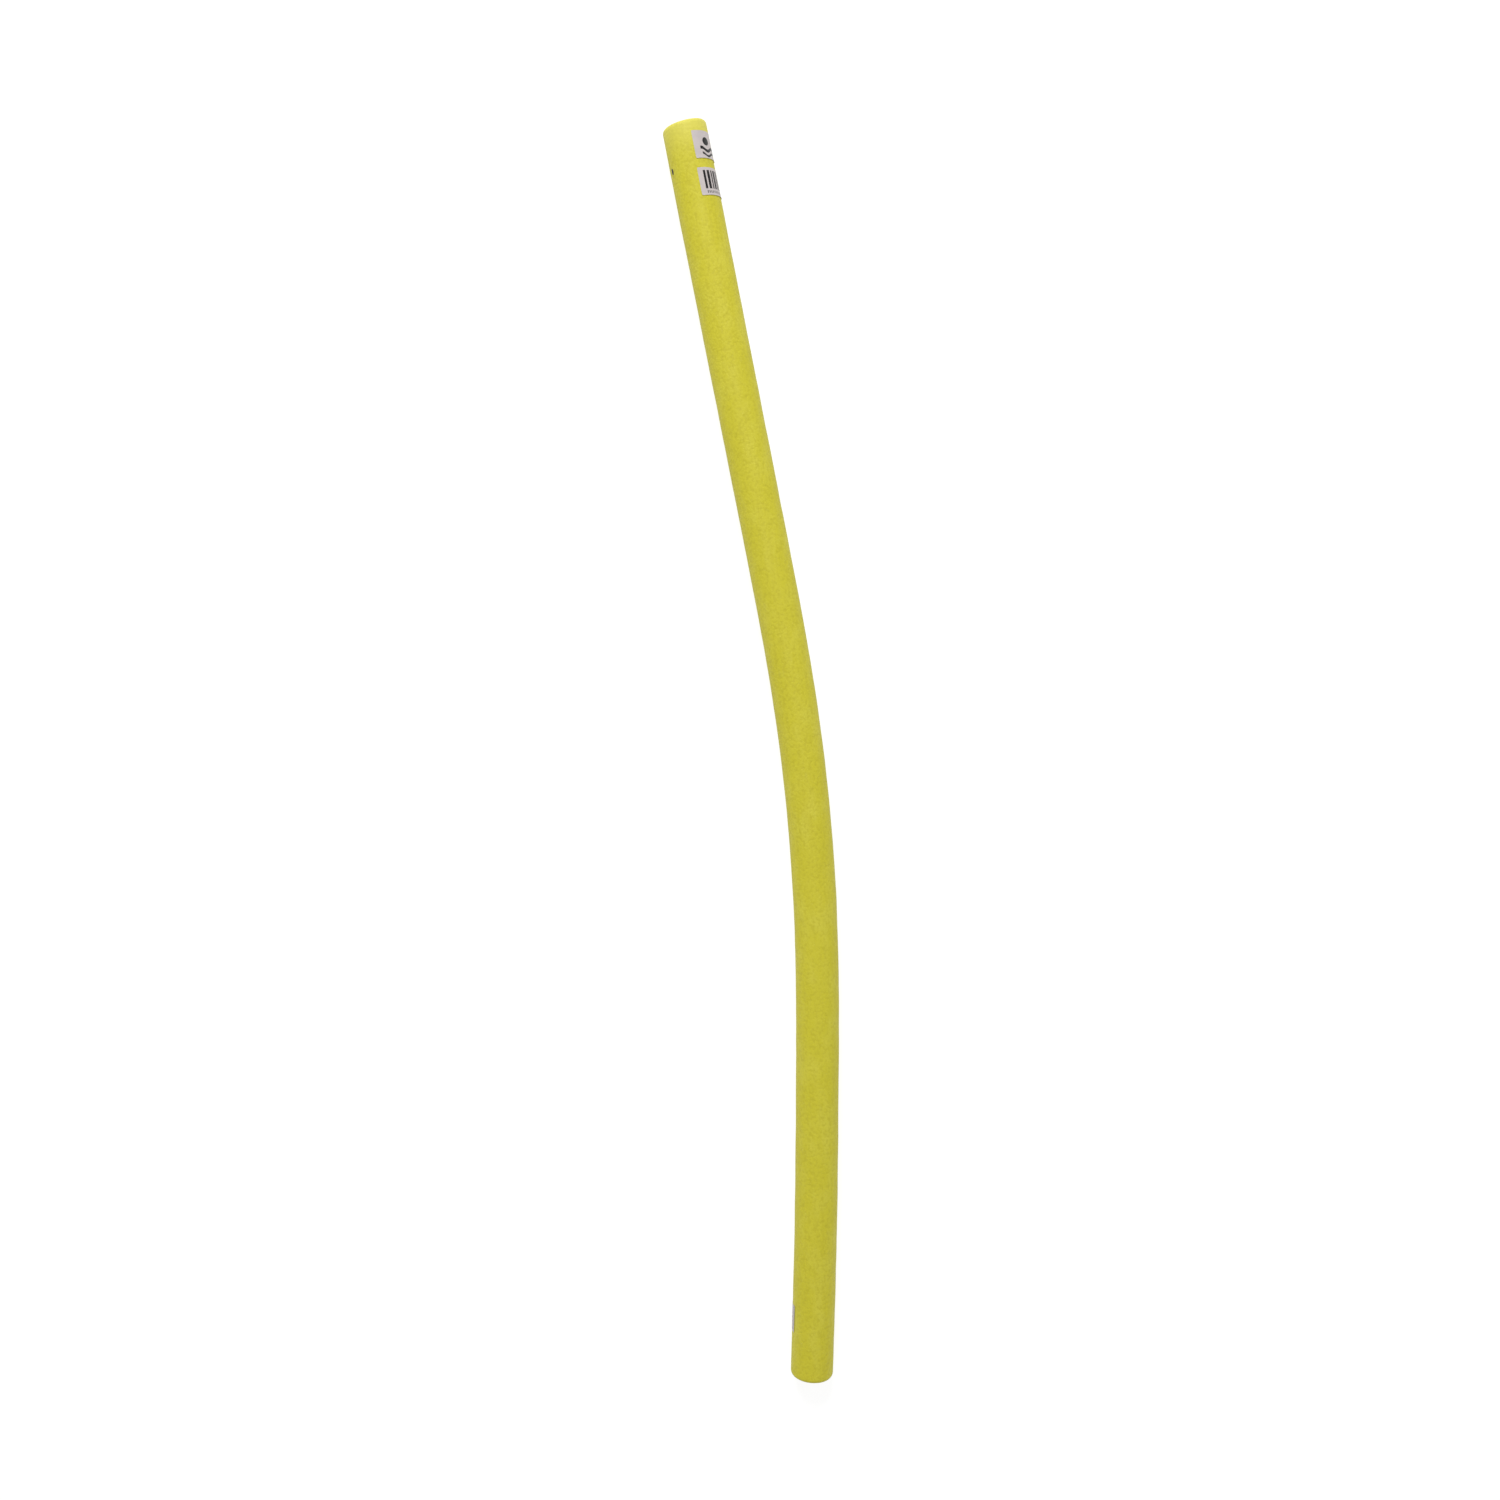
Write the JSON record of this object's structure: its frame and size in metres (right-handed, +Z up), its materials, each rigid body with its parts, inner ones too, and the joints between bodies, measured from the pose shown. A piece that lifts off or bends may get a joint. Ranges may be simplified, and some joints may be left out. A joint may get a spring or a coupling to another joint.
{
  "type": "foam swim noodle",
  "caption": "Long slim swim noodle of closed-cell foam with a hollow core and rounded rims, lying with a gentle sideways bend; it bends until its ends nearly meet.",
  "frame": {"origin": "on the floor, under the centre of the noodle's box", "axes": "+X along the noodle towards the labelled end, +Z up from the floor, -Y towards the outside of the bend"},
  "size_m": [1.601, 0.1236, 0.0554],
  "materials": {
    "foam": "matte",
    "sticker": "satin",
    "ink": "satin"
  },
  "bodies": {
    "section_01": {"foam_section_01": "foam", "lower_sticker": "sticker"},
    "section_02": {"foam_section_02": "foam"},
    "section_03": {"foam_section_03": "foam"},
    "section_04": {"foam_section_04": "foam"},
    "section_05": {"foam_section_05": "foam"},
    "section_06": {"foam_section_06": "foam"},
    "section_07": {"foam_section_07": "foam"},
    "section_08": {"foam_section_08": "foam"},
    "section_09": {"foam_section_09": "foam"},
    "section_10": {"foam_section_10": "foam"},
    "section_11": {"foam_section_11": "foam"},
    "section_12": {"foam_section_12": "foam"},
    "section_13": {"foam_section_13": "foam"},
    "section_14": {"foam_section_14": "foam"},
    "section_15": {"foam_section_15": "foam"},
    "section_16": {"foam_section_16": "foam"},
    "section_17": {"foam_section_17": "foam"},
    "section_18": {"foam_section_18": "foam"},
    "section_19": {"foam_section_19": "foam"},
    "section_20": {"foam_section_20": "foam"},
    "section_21": {"foam_section_21": "foam"},
    "section_22": {"foam_section_22": "foam"},
    "section_23": {"foam_section_23": "foam"},
    "section_24": {"foam_section_24": "foam"},
    "section_25": {"foam_section_25": "foam"},
    "section_26": {"foam_section_26": "foam"},
    "section_27": {"foam_section_27": "foam"},
    "section_28": {"foam_section_28": "foam"},
    "section_29": {"foam_section_29": "foam"},
    "section_30": {"foam_section_30": "foam"},
    "section_31": {"foam_section_31": "foam", "upper_sticker": "sticker", "barcode_sticker": "sticker", "printed_mark": "ink"}
  },
  "joints": [
    {"name": "bend_01", "type": "hinge", "parent": "section_02", "child": "section_01", "pos_m": [-0.69386, 0.02184, 0.0275], "axis": [0, 0, -1], "range_deg": [-2.69, 2.4], "stiffness_Nm_per_rad": 9.4},
    {"name": "bend_02", "type": "hinge", "parent": "section_03", "child": "section_02", "pos_m": [-0.64624, 0.01585, 0.0275], "axis": [0, 0, -1], "range_deg": [-3.9, 3.48], "stiffness_Nm_per_rad": 9.4},
    {"name": "bend_03", "type": "hinge", "parent": "section_04", "child": "section_03", "pos_m": [-0.59859, 0.01008, 0.0275], "axis": [0, 0, -1], "range_deg": [-5.07, 4.53], "stiffness_Nm_per_rad": 9.4},
    {"name": "bend_04", "type": "hinge", "parent": "section_05", "child": "section_04", "pos_m": [-0.55091, 0.00454, 0.0275], "axis": [0, 0, -1], "range_deg": [-6.19, 5.54], "stiffness_Nm_per_rad": 9.4},
    {"name": "bend_05", "type": "hinge", "parent": "section_06", "child": "section_05", "pos_m": [-0.5032, -0.00078, 0.0275], "axis": [0, 0, -1], "range_deg": [-7.26, 6.5], "stiffness_Nm_per_rad": 9.4},
    {"name": "bend_06", "type": "hinge", "parent": "section_07", "child": "section_06", "pos_m": [-0.45548, -0.00594, 0.0275], "axis": [0, 0, -1], "range_deg": [-8.27, 7.4], "stiffness_Nm_per_rad": 9.4},
    {"name": "bend_07", "type": "hinge", "parent": "section_08", "child": "section_07", "pos_m": [-0.40775, -0.01102, 0.0275], "axis": [0, 0, -1], "range_deg": [-9.21, 8.23], "stiffness_Nm_per_rad": 9.4},
    {"name": "bend_08", "type": "hinge", "parent": "section_09", "child": "section_08", "pos_m": [-0.36001, -0.01603, 0.0275], "axis": [0, 0, -1], "range_deg": [-10.06, 8.99], "stiffness_Nm_per_rad": 9.4},
    {"name": "bend_09", "type": "hinge", "parent": "section_10", "child": "section_09", "pos_m": [-0.31224, -0.02074, 0.0275], "axis": [0, 0, -1], "range_deg": [-10.82, 9.68], "stiffness_Nm_per_rad": 9.4},
    {"name": "bend_10", "type": "hinge", "parent": "section_11", "child": "section_10", "pos_m": [-0.26443, -0.02497, 0.0275], "axis": [0, 0, -1], "range_deg": [-11.49, 10.27], "stiffness_Nm_per_rad": 9.4},
    {"name": "bend_11", "type": "hinge", "parent": "section_12", "child": "section_11", "pos_m": [-0.21657, -0.02855, 0.0275], "axis": [0, 0, -1], "range_deg": [-12.05, 10.78], "stiffness_Nm_per_rad": 9.4},
    {"name": "bend_12", "type": "hinge", "parent": "section_13", "child": "section_12", "pos_m": [-0.16865, -0.03134, 0.0275], "axis": [0, 0, -1], "range_deg": [-12.51, 11.19], "stiffness_Nm_per_rad": 9.4},
    {"name": "bend_13", "type": "hinge", "parent": "section_14", "child": "section_13", "pos_m": [-0.12069, -0.03327, 0.0275], "axis": [0, 0, -1], "range_deg": [-12.86, 11.5], "stiffness_Nm_per_rad": 9.4},
    {"name": "bend_14", "type": "hinge", "parent": "section_15", "child": "section_14", "pos_m": [-0.0727, -0.03426, 0.0275], "axis": [0, 0, -1], "range_deg": [-13.09, 11.71], "stiffness_Nm_per_rad": 9.4},
    {"name": "bend_15", "type": "hinge", "parent": "section_16", "child": "section_15", "pos_m": [-0.0247, -0.03428, 0.0275], "axis": [0, 0, -1], "range_deg": [-13.21, 11.81], "stiffness_Nm_per_rad": 9.4},
    {"name": "bend_16", "type": "hinge", "parent": "section_16", "child": "section_17", "pos_m": [0.02329, -0.03336, 0.0275], "axis": [0, 0, 1], "range_deg": [-13.2, 11.8], "stiffness_Nm_per_rad": 9.4},
    {"name": "bend_17", "type": "hinge", "parent": "section_17", "child": "section_18", "pos_m": [0.07126, -0.03152, 0.0275], "axis": [0, 0, 1], "range_deg": [-13.09, 11.71], "stiffness_Nm_per_rad": 9.4},
    {"name": "bend_18", "type": "hinge", "parent": "section_18", "child": "section_19", "pos_m": [0.11919, -0.02886, 0.0275], "axis": [0, 0, 1], "range_deg": [-12.86, 11.5], "stiffness_Nm_per_rad": 9.4},
    {"name": "bend_19", "type": "hinge", "parent": "section_19", "child": "section_20", "pos_m": [0.16707, -0.02548, 0.0275], "axis": [0, 0, 1], "range_deg": [-12.51, 11.19], "stiffness_Nm_per_rad": 9.4},
    {"name": "bend_20", "type": "hinge", "parent": "section_20", "child": "section_21", "pos_m": [0.2149, -0.02152, 0.0275], "axis": [0, 0, 1], "range_deg": [-12.05, 10.78], "stiffness_Nm_per_rad": 9.4},
    {"name": "bend_21", "type": "hinge", "parent": "section_21", "child": "section_22", "pos_m": [0.26271, -0.01716, 0.0275], "axis": [0, 0, 1], "range_deg": [-11.49, 10.27], "stiffness_Nm_per_rad": 9.4},
    {"name": "bend_22", "type": "hinge", "parent": "section_22", "child": "section_23", "pos_m": [0.31049, -0.01263, 0.0275], "axis": [0, 0, 1], "range_deg": [-10.82, 9.68], "stiffness_Nm_per_rad": 9.4},
    {"name": "bend_23", "type": "hinge", "parent": "section_23", "child": "section_24", "pos_m": [0.35828, -0.00809, 0.0275], "axis": [0, 0, 1], "range_deg": [-10.06, 8.99], "stiffness_Nm_per_rad": 9.4},
    {"name": "bend_24", "type": "hinge", "parent": "section_24", "child": "section_25", "pos_m": [0.40606, -0.00355, 0.0275], "axis": [0, 0, 1], "range_deg": [-9.21, 8.23], "stiffness_Nm_per_rad": 9.4},
    {"name": "bend_25", "type": "hinge", "parent": "section_25", "child": "section_26", "pos_m": [0.45384, 0.001, 0.0275], "axis": [0, 0, 1], "range_deg": [-8.27, 7.4], "stiffness_Nm_per_rad": 9.4},
    {"name": "bend_26", "type": "hinge", "parent": "section_26", "child": "section_27", "pos_m": [0.50163, 0.00554, 0.0275], "axis": [0, 0, 1], "range_deg": [-7.26, 6.5], "stiffness_Nm_per_rad": 9.4},
    {"name": "bend_27", "type": "hinge", "parent": "section_27", "child": "section_28", "pos_m": [0.54941, 0.01008, 0.0275], "axis": [0, 0, 1], "range_deg": [-6.19, 5.54], "stiffness_Nm_per_rad": 9.4},
    {"name": "bend_28", "type": "hinge", "parent": "section_28", "child": "section_29", "pos_m": [0.5972, 0.01462, 0.0275], "axis": [0, 0, 1], "range_deg": [-5.07, 4.53], "stiffness_Nm_per_rad": 9.4},
    {"name": "bend_29", "type": "hinge", "parent": "section_29", "child": "section_30", "pos_m": [0.64498, 0.01916, 0.0275], "axis": [0, 0, 1], "range_deg": [-3.9, 3.48], "stiffness_Nm_per_rad": 9.4},
    {"name": "bend_30", "type": "hinge", "parent": "section_30", "child": "section_31", "pos_m": [0.69277, 0.0237, 0.0275], "axis": [0, 0, 1], "range_deg": [-2.69, 2.4], "stiffness_Nm_per_rad": 9.4}
  ],
  "couplings": [
    {"joint": "bend_01", "follows": "bend_16", "ratio": 0.203},
    {"joint": "bend_02", "follows": "bend_16", "ratio": 0.2944},
    {"joint": "bend_03", "follows": "bend_16", "ratio": 0.3831},
    {"joint": "bend_04", "follows": "bend_16", "ratio": 0.4684},
    {"joint": "bend_05", "follows": "bend_16", "ratio": 0.5496},
    {"joint": "bend_06", "follows": "bend_16", "ratio": 0.6259},
    {"joint": "bend_07", "follows": "bend_16", "ratio": 0.6967},
    {"joint": "bend_08", "follows": "bend_16", "ratio": 0.7613},
    {"joint": "bend_09", "follows": "bend_16", "ratio": 0.8191},
    {"joint": "bend_10", "follows": "bend_16", "ratio": 0.8696},
    {"joint": "bend_11", "follows": "bend_16", "ratio": 0.9124},
    {"joint": "bend_12", "follows": "bend_16", "ratio": 0.9471},
    {"joint": "bend_13", "follows": "bend_16", "ratio": 0.9735},
    {"joint": "bend_14", "follows": "bend_16", "ratio": 0.9911},
    {"joint": "bend_15", "follows": "bend_16", "ratio": 1},
    {"joint": "bend_17", "follows": "bend_16", "ratio": 0.9911},
    {"joint": "bend_18", "follows": "bend_16", "ratio": 0.9735},
    {"joint": "bend_19", "follows": "bend_16", "ratio": 0.9471},
    {"joint": "bend_20", "follows": "bend_16", "ratio": 0.9124},
    {"joint": "bend_21", "follows": "bend_16", "ratio": 0.8696},
    {"joint": "bend_22", "follows": "bend_16", "ratio": 0.8191},
    {"joint": "bend_23", "follows": "bend_16", "ratio": 0.7613},
    {"joint": "bend_24", "follows": "bend_16", "ratio": 0.6967},
    {"joint": "bend_25", "follows": "bend_16", "ratio": 0.6259},
    {"joint": "bend_26", "follows": "bend_16", "ratio": 0.5496},
    {"joint": "bend_27", "follows": "bend_16", "ratio": 0.4684},
    {"joint": "bend_28", "follows": "bend_16", "ratio": 0.3831},
    {"joint": "bend_29", "follows": "bend_16", "ratio": 0.2944},
    {"joint": "bend_30", "follows": "bend_16", "ratio": 0.203}
  ]
}
